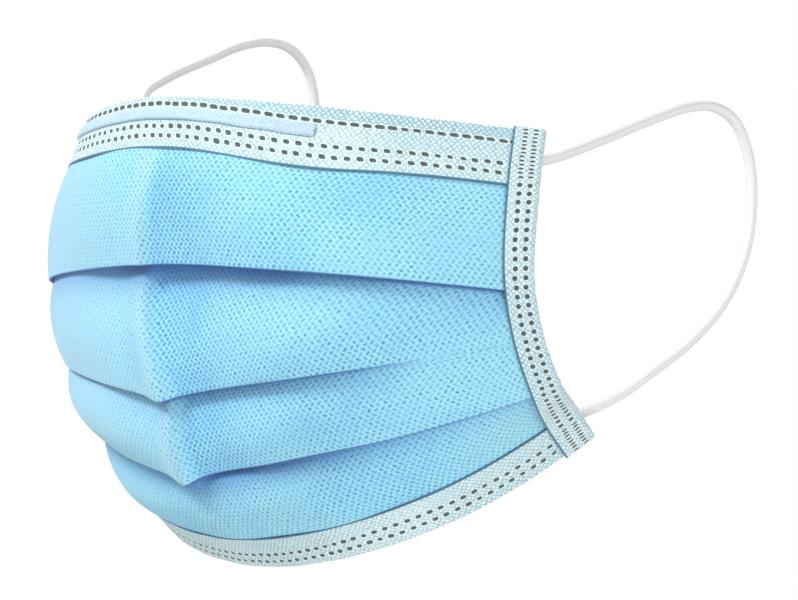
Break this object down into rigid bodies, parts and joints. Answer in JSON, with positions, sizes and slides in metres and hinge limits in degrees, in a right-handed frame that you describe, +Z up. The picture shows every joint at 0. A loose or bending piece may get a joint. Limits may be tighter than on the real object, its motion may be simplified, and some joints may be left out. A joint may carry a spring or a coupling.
{
  "type": "three-ply face mask",
  "caption": "Pleated three-ply cloth face mask with welded bindings along all edges, a nose wire in the top binding and an elastic ear loop at each side, in its worn shape.",
  "frame": {"origin": "inner face of the top binding, in its middle, where the mask sits on the nose", "axes": "+X to the wearer's left, -Y to the front of the mask, +Y towards the face, +Z up"},
  "size_m": [0.1602, 0.1345, 0.1372],
  "materials": {
    "blue_cloth": "spunbond cloth with a fine embossed pattern, white inner ply",
    "pale_binding": "spunbond strip with rows of pressed weld marks",
    "nose_wire": "plastic covered soft wire",
    "elastic_cord": "knitted elastic"
  },
  "bodies": {
    "root": {"pleated_body": "blue_cloth", "top_binding": "pale_binding", "bottom_binding": "pale_binding", "side_binding_left": "pale_binding", "side_binding_right": "pale_binding", "nose_wire": "nose_wire", "ear_loop_left": "elastic_cord", "ear_loop_right": "elastic_cord"}
  },
  "joints": []
}
